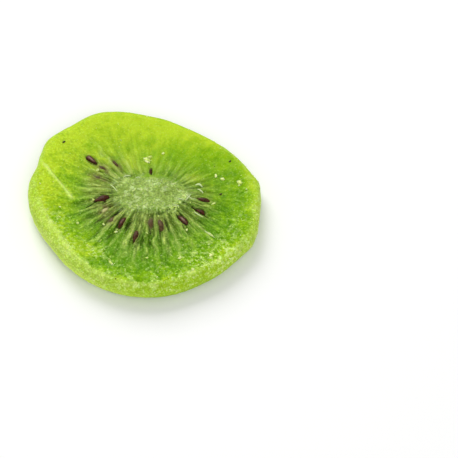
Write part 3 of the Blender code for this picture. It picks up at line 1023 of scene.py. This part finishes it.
# Where the side is frosted with sugar: direction, half width and how much
FROSTED_LEAST = 0.12
FROSTED = ((135, 35, 0.18), (205, 48, 0.88), (231, 28, 0.62), (350, 35, 0.95))
# Where the rim's colour starts further in, and where the side is painted with a glow that stands in for light
# shining through its thin edge: direction and half width
RIM_FURTHER_IN = (350, 35)
PAINTED_GLOW_TOWARDS = (205, 48)
# The side's low bumps: the height and the length of each kind
RIM_BUMPS = ((0.12 * MM, 2.8 * MM), (0.06 * MM, 0.9 * MM))
# Far apart in the fibres' space, so that the two faces don't share their fibres
RESTING_FIBRES_AWAY = 9


def bumped(point, side):
    """A point of the side, pushed in or out by the side's low bumps."""
    for height, length in RIM_BUMPS:
        bump = height * (clouds(Vector((*point, 2 * MM * side)), length) - 0.2) * (1 - side * side)
        point = point * (1 + bump / point.length)
    return point


def place_point(vert, column, place, layers):
    """Moves one point of the sheet to its place on the slice, and writes its marks."""
    share, side = place
    degrees, turns = column_ray(column), column / POCKET_COLUMNS
    point = ray_point(degrees, share)
    high, shown = shown_place(point, degrees, share, turns)
    low, resting = resting_place(point, degrees, share, turns)
    further = towards(degrees, *RIM_FURTHER_IN)
    past_shoulder = share - shoulder_share(degrees)
    marks = shown if side > 0 else resting
    marks["sugar"] = sugar_mark(point, degrees, share, side)
    marks["whitish"] = whitish_mark(point)
    marks["pale"] = pale_and_backlight_mark(point, share)
    marks["grain"] = grain_mark(point)
    marks["frosted"] = added_towards(degrees, FROSTED, FROSTED_LEAST)
    marks["rim"] = ease((past_shoulder + 0.03 + 0.08 * further) / (0.04 + 0.10 * further))
    # The painted glow on the lower side, for light shining through the thin edge
    marks["glow"] = hump(side + 0.3, 0.42) * towards(degrees, *PAINTED_GLOW_TOWARDS) if abs(side) < 1 else 0.0
    marks["crest"] = crest_highlight_mark(point, degrees, share) if side > 0 else 0.0
    marks["fibre"] = fibre_place(degrees, share) + Vector((0, 0, RESTING_FIBRES_AWAY * (1 - side)))
    for name, layer in layers.items():
        vert[layer] = marks[name]
    if abs(side) < 1:
        point = bumped(point, side)
    vert.co = (*(point + core_centre), max(0.0, low + (high - low) * (side + 1) / 2))


print(len(MARKS), "marks on each point of the skin")

# %% Build the skin
MERGE_DISTANCE = 1e-7


def flesh_mesh():
    places = ring_places()
    bm = bmesh.new()
    layers = {name: bm.verts.layers.float.new(name) for name in MARKS}
    layers["fibre"] = bm.verts.layers.float_vector.new("fibre")
    bmesh.ops.create_grid(bm, x_segments=columns, y_segments=len(places) - 1, size=0.5)
    for vert in bm.verts:
        column = round((vert.co.x + 0.5) * columns)
        ring = round((vert.co.y + 0.5) * (len(places) - 1))
        place_point(vert, column % columns, places[ring], layers)
    bmesh.ops.remove_doubles(bm, verts=bm.verts[:], dist=MERGE_DISTANCE)
    bmesh.ops.recalc_face_normals(bm, faces=bm.faces[:])
    return bm


def finished(name, bm, material):
    """A smooth object of one mesh and one material, which rides with the slice."""
    mesh = bpy.data.meshes.new(name)
    bm.to_mesh(mesh)
    bm.free()
    mesh.shade_smooth()
    mesh.materials.append(material)
    piece = linked(name, mesh)
    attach(piece, "root")
    print(name, "has", sum(len(face.vertices) - 2 for face in mesh.polygons), "triangles")
    return piece


print("the sheet will have", columns * (len(ring_places()) - 1), "faces")

# %% [markdown]
# ## The flesh's finish
#
# Dried kiwi looks alive because light sinks in and comes back greener. Subsurface scattering does that, with
# a radius that is long for green, shorter for red and very short for blue. The colours are mixed from the
# marks: deep green in the pockets, pale walls, a dusty grey-green core, yellow-green towards the rim, and a
# veil where sugar has dried on. Some light and shade is painted into the colour too: shade in the gaps,
# hollows and slits, a glow on the lower side, highlights on the crests and a paler far side for the light
# from behind. Fine noise that follows the rays gives the fibres between the walls.

# %% Choose the flesh's colours
DEEP_GREEN = (0.092, 0.265, 0.001, 1)
MIDDLE_GREEN = (0.228, 0.440, 0.003, 1)
YELLOW_GREEN = (0.450, 0.628, 0.020, 1)
RIM_GREEN = (0.330, 0.530, 0.006, 1)
RIM_DEEP = (0.265, 0.450, 0.003, 1)
PAINTED_RIM_GLOW = (0.680, 0.930, 0.100, 1)
RIM_FROST = (0.610, 0.800, 0.150, 1)
OLIVE = (0.062, 0.085, 0.010, 1)
WALL_PALE = (0.470, 0.605, 0.140, 1)
WALL_YELLOW = (0.400, 0.620, 0.045, 1)
GAP_DEEP_GREEN_AND_SHADE = (0.024, 0.066, 0.001, 1)
CREST_PAINTED_HIGHLIGHT = (0.660, 0.840, 0.200, 1)
HAZE_GREEN = (0.226, 0.328, 0.070, 1)
CORE_GREEN = (0.190, 0.290, 0.040, 1)
CORE_PALE = (0.360, 0.498, 0.135, 1)
CORE_CURLS = (0.660, 0.790, 0.370, 1)
SLIT_SHADE = (0.012, 0.012, 0.003, 1)
STAIN_BROWN = (0.150, 0.115, 0.045, 1)
SUGAR_PALE = (0.580, 0.755, 0.210, 1)
SHEEN_TINT = (0.75, 1.00, 0.15, 1)
print("from deep to yellow green:", DEEP_GREEN[:3], MIDDLE_GREEN[:3], YELLOW_GREEN[:3])


# %% Make the flesh's material
def flesh_finish():
    material, shader, start = start_material("kiwi_flesh", {
        "Subsurface Weight": 0.40, "Subsurface Radius": (0.55, 1.0, 0.08), "Subsurface Scale": 0.8 * MM,
        "IOR": 1.45, "Specular IOR Level": 0.07, "Specular Tint": SHEEN_TINT,
    })
    place, fibre = start.place(), start.mark("fibre", "Vector")
    core, whitish, haze, thready, wall, gap, slit, pocket = (start.mark(name) for name in MARKS[:8])
    stain, sugar, pale, rim, crest, frosted, glow, rough = (start.mark(name) for name in MARKS[8:])
    grain = place.noise(1 / (0.60 * MM), detail=3)
    fine_grain = place.noise(1 / (0.36 * MM), detail=2)
    curls = place.noise(1 / (1.25 * MM), detail=3, distortion=1.2)
    cloud = place.noise(1 / (2.2 * MM), detail=2)
    frost = place.noise(1 / (0.9 * MM), detail=3, roughness=0.6)
    veil = place.noise(1 / (1.7 * MM), detail=4, roughness=0.65)
    streak = fibre.noise(1.6, detail=3, roughness=0.6)
    fine_streak = fibre.noise(4.2, detail=2)
    tone = pale + (cloud - 0.5) * (0.7 + rough * 0.4) + (streak - 0.5) * (0.15 + thready * 0.9)
    tone = tone + (grain - 0.5) * rough - thready * 0.20
    colour = (tone * 2).mix(DEEP_GREEN, MIDDLE_GREEN)
    colour = (tone * 2 - 1).mix(colour, YELLOW_GREEN)
    colour = (rim * (0.3 + frost * 0.9)).mix(colour, RIM_GREEN)
    colour = (rim * (1 - frosted) * 0.5).mix(colour, RIM_DEEP)
    frosting = 0.22 + veil.eased(0.46, 0.66) * 0.32 + fine_grain.eased(0.50, 0.64) * 0.32
    colour = (rim * frosted * frosting).mix(colour, RIM_FROST)
    # A painted glow on the lower side, standing in for light shining through the thin edge
    colour = glow.mix(colour, PAINTED_RIM_GLOW)
    colour = (haze * (0.25 + streak.eased(0.30, 0.65) * 0.65)).mix(colour, HAZE_GREEN)
    colour = (pocket * streak.eased(0.80, 0.40)).mix(colour, (haze * 2.5).mix(DEEP_GREEN, OLIVE))
    threads = streak.eased(0.52, 0.68) * 0.5 * (haze + thready * 0.5) + wall * (0.25 + fine_grain)
    threads = threads + fine_streak.eased(0.54, 0.68) * (0.12 + haze * 0.55) * thready
    paleness = thready.eased(0.22, 0.72) + haze * 0.8 + (1 - rough) * 0.5
    colour = threads.mix(colour, paleness.mix(WALL_YELLOW, WALL_PALE))
    colour = (stain * (0.45 + grain * 0.8)).mix(colour, STAIN_BROWN)
    # Painted shade over deep green: in the gaps, hollows and groove round the core, and in fine dark streaks
    dark_streaks = streak.eased(0.46, 0.36) * 0.55 + fine_streak.eased(0.46, 0.34) * (0.12 + haze * 0.70)
    colour = (gap * 0.95 + dark_streaks * thready).mix(colour, GAP_DEEP_GREEN_AND_SHADE)
    # Painted shade, near black, in the slits and in the moat round each seed
    colour = (slit * 1.1).mix(colour, SLIT_SHADE)
    core_colour = whitish.mix(CORE_GREEN, CORE_PALE)
    core_colour = (curls.eased(0.48, 0.66) * (0.28 + whitish * 0.45)).mix(core_colour, CORE_CURLS)
    core_colour = core_colour.scaled(1 + (fine_grain - 0.5) * 0.8 + (grain - 0.5) * 0.9)
    torn_core = (core + (streak - 0.5) * 3.0 * core * (1 - core)).clamped()
    colour = (torn_core * 0.95).mix(colour, core_colour)
    flecks = fine_grain.eased(0.57, 0.70) * (0.20 - rim * (0.21 - rough * 0.13) + sugar * 0.6)
    colour = (flecks + sugar * frost.eased(0.47, 0.58) * 1.1).mix(colour, SUGAR_PALE)
    # Painted highlight along the fold's crest and the shoulder
    colour = (crest * 1.2).mix(colour, CREST_PAINTED_HIGHLIGHT)
    colour = colour.scaled(1 + rough * ((grain - 0.5) * 0.5 + (fine_grain - 0.5) * 0.7))
    start.plug(colour, shader.inputs["Base Color"])
    start.plug(0.36 + grain * 0.14 + core * 0.30 + sugar * 0.20, shader.inputs["Roughness"])
    height = grain * 0.7 + fine_grain * 0.4 + streak * 0.7 * (1 - core) + core * curls * 0.9
    height = height + fine_streak * haze * (1 - core) * 1.6
    start.plug(start.bump(height, 0.09 * MM, 0.9), shader.inputs["Normal"])
    return material


flesh = finished("kiwi_flesh", flesh_mesh(), flesh_finish())
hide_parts("kiwi_slice")
skin = BVHTree.FromObject(flesh, bpy.context.evaluated_depsgraph_get())


def on_skin(spot, above=0.0):
    """The point of the shown face, or a little above it, at a place in mm from the middle of the core."""
    middle = Vector(spot) * MM + core_centre
    hit, _, _, _ = skin.ray_cast(Vector((*middle, 20 * MM)), Vector((0, 0, -1)))
    return Vector((*middle, (hit.z if hit else THICKNESS) + above))


# %% [markdown]
# ## The seeds
#
# A kiwi seed is a flattened drop with its point towards the core, dark red-brown and glossy. Here a sphere is
# narrowed towards one end and laid in its pocket, sunk as deep as the solid's own seed. Some lie under a thin
# film of flesh, which greys them, and that film is a mark on the seed and not a second surface.

# %% Make the seeds
SEED_SIDES = 20
SEED_RINGS = 14
SEED_TAPER = 0.38
SEED_UNEVENNESS = 0.22
HIGHLIGHT_AT, HIGHLIGHT_HALF_LENGTH, HIGHLIGHT_HALF_WIDTH = 0.06, 0.26, 0.16
# How blunt its ends are, how much a film hides it and how strong the painted highlight on its back is
RESTING_SEED_LOOKS = (1.6, 0.3, 0.0)


def add_seed(bm, layers, place, outward, sizes, bluntness, film, worn):
    """Adds one seed to a mesh: sizes are its length, width and height."""
    made = bmesh.ops.create_uvsphere(bm, u_segments=SEED_SIDES, v_segments=SEED_RINGS, radius=0.5)
    lay_down = Matrix.Rotation(math.pi / 2, 3, "Y")
    point_out = Matrix.Rotation(math.atan2(outward.y, outward.x), 3, "Z")
    for vert in made["verts"]:
        co = lay_down @ vert.co
        # The painted highlight lies on the top of the seed's back; under a film the same mark makes a pale
        # husk
        worn_here = worn * hump(co.x - HIGHLIGHT_AT, HIGHLIGHT_HALF_LENGTH) * hump(co.y, HIGHLIGHT_HALF_WIDTH)
        vert[layers["film"]] = film * (0.7 + 0.6 * (2 * co.xy.length) ** 2)
        vert[layers["worn"]] = worn_here * (co.z > 0)
        along = min(abs(2 * co.x), 0.9999)
        swelling = (1 - along ** bluntness) ** (1 / bluntness) / math.sqrt(1 - along ** 2)
        swelling *= 1 - SEED_TAPER * ease(0.5 - co.x)
        shaped = Vector((co.x * sizes[0], co.y * swelling * sizes[1], co.z * swelling * sizes[2]))
        uneven = 1 + SEED_UNEVENNESS * noise.noise(2.2 * co + place / MM)
        vert.co = point_out @ (shaped * uneven) + place


def seeds_mesh():
    bm = bmesh.new()
    layers = {name: bm.verts.layers.float.new(name) for name in ("film", "worn")}
    for ray, distance, sunk, length, width, turn, bluntness, film, worn in SHOWN_SEEDS:
        spot, outward, share = seed_spot(ray, distance)
        height = shown_height(spot, ray, share, -1, reaches[rays.index(ray)]) + SEED_HEIGHT * (0.5 - sunk)
        sizes = (SEED_LENGTH * length, SEED_WIDTH * width, SEED_HEIGHT)
        place = Vector((*(spot + core_centre), height))
        add_seed(bm, layers, place, turned(outward, turn), sizes, bluntness, film, worn)
    for ray, distance in resting_seeds:
        spot, outward, share = seed_spot(ray, distance)
        height = resting_height(ray, share, -1) - SEED_HEIGHT * (0.5 - RESTING_SEED_SUNK)
        height = max(height, SEED_HEIGHT / 2 + SEED_CLEAR_OF_TABLE)
        place = Vector((*(spot + core_centre), height))
        add_seed(bm, layers, place, outward, (SEED_LENGTH, SEED_WIDTH, SEED_HEIGHT), *RESTING_SEED_LOOKS)
    bmesh.ops.recalc_face_normals(bm, faces=bm.faces[:])
    return bm


print(len(SHOWN_SEEDS) + len(resting_seeds), "seeds to make")

# %% Lay the seeds and finish them
SEED_DARK = (0.012, 0.004, 0.001, 1)
SEED_RED = (0.080, 0.022, 0.010, 1)
SEED_PAINTED_HIGHLIGHT = (0.300, 0.200, 0.140, 1)
SEED_UNDER_FILM = (0.100, 0.078, 0.026, 1)
FILM_GREEN = (0.150, 0.190, 0.045, 1)
SEED_HUSK = (0.520, 0.520, 0.200, 1)
SEED_SHEEN = (1.0, 0.66, 0.42, 1)


def seed_finish():
    material, shader, start = start_material("kiwi_seed", {
        "Coat Weight": 0.06, "Coat Roughness": 0.08, "IOR": 1.5, "Specular IOR Level": 0.12,
        "Specular Tint": SEED_SHEEN,
    })
    place, film, worn = start.place(), start.mark("film"), start.mark("worn")
    mottle = place.noise(1 / (0.35 * MM), detail=2)
    colour = mottle.eased(0.35, 0.65).mix(SEED_DARK, SEED_RED)
    colour = (film * (0.3 + mottle * 1.3)).mix(colour, SEED_UNDER_FILM)
    colour = film.eased(0.55, 1.00).mix(colour, FILM_GREEN)
    # A painted highlight on a bare seed's back, and a pale husk where a film covers the seed
    colour = (worn * (0.4 + mottle)).mix(colour, film.mix(SEED_PAINTED_HIGHLIGHT, SEED_HUSK))
    start.plug(colour, shader.inputs["Base Color"])
    start.plug((0.32 + mottle * 0.15 + film * 0.25).clamped(), shader.inputs["Roughness"])
    start.plug(start.bump(mottle, 0.03 * MM, 0.6), shader.inputs["Normal"])
    return material


finished("kiwi_seeds", seeds_mesh(), seed_finish())

# %% [markdown]
# ## Sugar
#
# Sugar dries on as crystals, thousands of them, each smaller than a grain of salt. Modelling them one at a
# time would take an afternoon, and a texture would not catch the light, so Geometry Nodes scatters small
# cubes on the flesh, as thick as the sugar mark says, and turns them every way. A few larger lumps have
# places of their own. The instances are made real at the end, because an instance can't be exported.

# %% Scatter the sugar crystals
# How many on a wholly sugared slice, and the smallest and largest sizes in mm
CRYSTALS = ((5000, (0.09, 0.09, 0.06), (0.26, 0.24, 0.14)), (1500, (0.20, 0.16, 0.10), (0.55, 0.44, 0.18)))
LOWEST_CRYSTAL = 0.35 * MM
HIGHEST_CRYSTAL = 5.92 * MM


def scatter_tree(name, count, smallest, largest, area):
    """Geometry nodes that scatter cubes on the flesh. count is for a whole slice with a sugar mark of 1."""
    tree = bpy.data.node_groups.new(name, "GeometryNodeTree")
    tree.interface.new_socket("Geometry", in_out="OUTPUT", socket_type="NodeSocketGeometry")
    start = Wire(tree)
    skin_mesh = start.add("GeometryNodeObjectInfo", {"Object": flesh}, output="Geometry")
    sugar = start.add("GeometryNodeInputNamedAttribute", {"Name": "sugar"}, data_type="FLOAT")
    height = start.add("ShaderNodeSeparateXYZ", {0: start.add("GeometryNodeInputPosition")}, output="Z")
    above = height.math("GREATER_THAN", height, LOWEST_CRYSTAL)
    below = height.math("LESS_THAN", height, HIGHEST_CRYSTAL)
    sockets = {"Mesh": skin_mesh, "Density": sugar * (above * below) * (count / area), "Seed": RANDOM_SEED}
    points = start.add("GeometryNodeDistributePointsOnFaces", sockets)
    whole_turn = (math.tau, math.tau, math.tau)
    turns = start.add("FunctionNodeRandomValue", {0: (0, 0, 0), 1: whole_turn}, data_type="FLOAT_VECTOR")
    low, high = (tuple(size * MM for size in sizes) for sizes in (smallest, largest))
    sizes = start.add("FunctionNodeRandomValue", {0: low, 1: high, "Seed": 1}, data_type="FLOAT_VECTOR")
    cube = start.add("GeometryNodeMeshCube", {"Size": (1, 1, 1)})
    sockets = {"Points": points, "Instance": cube, "Rotation": turns, "Scale": sizes}
    cubes = start.add("GeometryNodeInstanceOnPoints", sockets)
    crystals = start.add("GeometryNodeRealizeInstances", {0: cubes})
    start.plug(crystals, tree.nodes.new("NodeGroupOutput").inputs[0])
    return tree


print("on a wholly sugared slice:", [count for count, _, _ in CRYSTALS], "small and larger crystals")


# %% Make the crystals real
def pour_into(bm, thing):
    """Adds an object's mesh, with its modifiers and bevels worked out, to a bmesh, and removes the object."""
    evaluated = thing.evaluated_get(bpy.context.evaluated_depsgraph_get())
    bm.from_mesh(evaluated.to_mesh())
    bpy.data.objects.remove(thing)


def crystals_mesh():
    """All the crystals in one mesh."""
    area = sum(face.area for face in flesh.data.polygons)
    bm = bmesh.new()
    for number, (count, smallest, largest) in enumerate(CRYSTALS):
        scatter = linked("scatter", bpy.data.meshes.new("scatter"))
        modifier = scatter.modifiers.new("scatter", "NODES")
        modifier.node_group = scatter_tree(f"crystals_{number}", count, smallest, largest, area)
        pour_into(bm, scatter)
    return bm


SUGAR_GREEN = (0.540, 0.740, 0.130, 1)
SUGAR_WHITE = (0.800, 0.920, 0.380, 1)


def sugar_finish(name, green, pale):
    material, shader, start = start_material(name, {
        "Roughness": 0.35, "IOR": 1.5, "Specular Tint": SHEEN_TINT,
        "Subsurface Weight": 0.3, "Subsurface Radius": (1.0, 1.0, 0.4), "Subsurface Scale": 0.3 * MM,
    })
    cloud = start.place().noise(1 / (0.5 * MM), detail=2)
    start.plug(cloud.eased(0.40, 0.65).mix(green, pale), shader.inputs["Base Color"])
    return material


crystal_material = sugar_finish("dried_sugar", SUGAR_GREEN, SUGAR_WHITE)
crystals = finished("sugar_crystals", crystals_mesh(), crystal_material)
crystals.data.shade_flat()

# %% Lay the larger lumps of sugar
# Place in mm from the middle of the core, and the lump's length, width and height in mm
LUMPS = (
    ((-0.9, 9.0), (1.7, 1.1, 0.35)), ((-0.3, 9.9), (1.1, 0.6, 0.3)), ((2.6, 10.9), (0.6, 0.6, 0.35)),
    ((14.1, 4.8), (0.9, 0.5, 0.35)), ((15.5, 3.9), (1.0, 0.7, 0.35)), ((19.3, 2.9), (1.2, 1.0, 0.3)),
    ((19.1, -14.8), (0.9, 0.7, 0.4)), ((13.1, -10.9), (1.5, 0.4, 0.3)), ((-12.1, -1.6), (0.5, 0.6, 0.35)),
    ((-7.1, -10.1), (0.8, 0.4, 0.3)), ((1.9, -6.1), (0.4, 0.4, 0.25)), ((13.7, -2.6), (0.9, 0.4, 0.25)),
    ((-11.5, 6.3), (0.6, 0.5, 0.3)), ((-0.3, -16.9), (0.6, 0.4, 0.3)), ((6.6, -16.9), (0.8, 0.5, 0.3)),
    ((13.2, -16.4), (0.9, 0.7, 0.3)), ((9.4, -20.0), (0.6, 0.6, 0.3)), ((-7.8, -18.4), (1.4, 0.5, 0.3)),
    ((-15.2, -7.9), (0.5, 0.5, 0.3)), ((-9.7, -8.1), (0.6, 0.4, 0.25)), ((8.0, -9.6), (0.6, 0.4, 0.25)),
)
LUMP_RISE = 0.05 * MM
# Lumps at least this long, in mm, lie along one direction, and shorter ones lie anyhow
LONG_LUMP = 1.2
LONG_LUMP_TURN = math.radians(-48)
LUMP_GREEN = (0.520, 0.690, 0.120, 1)
LUMP_PALE = (0.820, 0.900, 0.420, 1)


def lumps_mesh():
    bm = bmesh.new()
    for spot, sizes in LUMPS:
        place = on_skin(spot, LUMP_RISE)
        made = bmesh.ops.create_icosphere(bm, subdivisions=3, radius=0.5)
        turn = Matrix.Rotation(draw.uniform(0, math.tau) if sizes[0] < LONG_LUMP else LONG_LUMP_TURN, 3, "Z")
        for vert in made["verts"]:
            rough = 1 + 0.8 * noise.noise(vert.co * 4 + Vector((*spot, 0)))
            shaped = turn @ Vector(rough * co * size * MM for co, size in zip(vert.co, sizes))
            vert.co = shaped + place
    return bm


finished("sugar_lumps", lumps_mesh(), sugar_finish("sugar_syrup", LUMP_GREEN, LUMP_PALE))

# %% [markdown]
# ## Fibres and specks
#
# The knife pulls a few fibres out of the flesh, and they dry to pale curls. Each one is a thin tube along
# a few points, laid on the flesh by a ray cast down on to it. The specks are crumbs of seed coat.

# %% Lay the loose fibres
# Points in mm from the middle of the core, and the thickness in mm
FIBRES = (
    (((9.7, 2.2), (10.3, 2.5), (10.9, 2.2), (11.2, 1.8)), 0.46),
    (((10.2, 1.1), (10.9, 0.8), (11.4, 0.2)), 0.50), (((7.6, -0.2), (8.1, -0.9), (8.9, -1.3)), 0.38),
    (((8.7, -0.4), (8.2, -1.2), (7.6, -2.0)), 0.34), (((7.2, -1.9), (6.6, -1.5), (5.9, -2.0)), 0.30),
    (((-8.6, 2.1), (-7.7, 1.4), (-7.2, 0.5)), 0.36), (((11.8, -9.9), (12.7, -10.8), (13.9, -11.6)), 0.32),
    (((4.9, -3.4), (5.6, -3.1), (6.3, -3.5)), 0.28), (((9.5, -5.0), (10.3, -5.8), (11.5, -6.3)), 0.34),
    (((-5.9, 4.2), (-5.2, 4.9), (-4.3, 4.6)), 0.30), (((-3.2, 4.0), (-2.5, 4.5), (-2.2, 3.9)), 0.26),
)
FIBRE_BEVEL_STEPS = 2
FIBRE_STEPS = 8
FIBRE_END_RADIUS = 0.35
FIBRE_LIFT = 0.3
FIBRE_LOOKS = {
    "Base Color": (0.62, 0.76, 0.36, 1), "Roughness": 0.45,
    "Subsurface Weight": 0.3, "Subsurface Radius": (0.8, 1.0, 0.3), "Subsurface Scale": 0.4 * MM,
}


def fibres_mesh():
    bm = bmesh.new()
    for points, thickness in FIBRES:
        curve = bpy.data.curves.new("fibre", "CURVE")
        curve.dimensions = "3D"
        curve.bevel_depth = thickness * MM / 2
        curve.bevel_resolution = FIBRE_BEVEL_STEPS
        curve.resolution_u = FIBRE_STEPS
        curve.use_fill_caps = True
        spline = curve.splines.new("NURBS")
        spline.points.add(len(points) - 1)
        spline.use_endpoint_u = True
        spline.order_u = 3
        for number, (spot, point) in enumerate(zip(points, spline.points)):
            end = number in (0, len(points) - 1)
            point.co = (*on_skin(spot, 0.0 if end else FIBRE_LIFT * thickness * MM), 1)
            point.radius = FIBRE_END_RADIUS if end else 1.0
        pour_into(bm, linked("fibre", curve))
    return bm


finished("pale_fibres", fibres_mesh(), start_material("pale_fibre", FIBRE_LOOKS)[0])

# %% Drop the dark specks
# Place in mm from the middle of the core, and the speck's size in mm
SPECKS = (
    ((-19.2, 13.9), 0.55), ((17.2, 8.6), 0.5), ((15.2, -0.1), 0.55), ((13.8, 7.4), 0.25),
    ((-6.6, -22.6), 0.3),
)
SPECK_SHAPE = Vector((1.3, 0.8, 0.5))
SPECK_TURN = math.radians(40)
SPECK_LOOKS = {"Base Color": (0.045, 0.045, 0.008, 1), "Roughness": 0.6, "Specular IOR Level": 0.2}


def specks_mesh():
    bm = bmesh.new()
    turn = Matrix.Rotation(SPECK_TURN, 3, "Z")
    for spot, size in SPECKS:
        place = on_skin(spot)
        made = bmesh.ops.create_icosphere(bm, subdivisions=2, radius=size * MM / 2)
        for vert in made["verts"]:
            rough = 1 + 0.6 * noise.noise(vert.co * 3 / MM + Vector((*spot, 0)))
            vert.co = place + rough * (turn @ (vert.co * SPECK_SHAPE))
    return bm


finished("seed_specks", specks_mesh(), start_material("seed_coat", SPECK_LOOKS)[0])
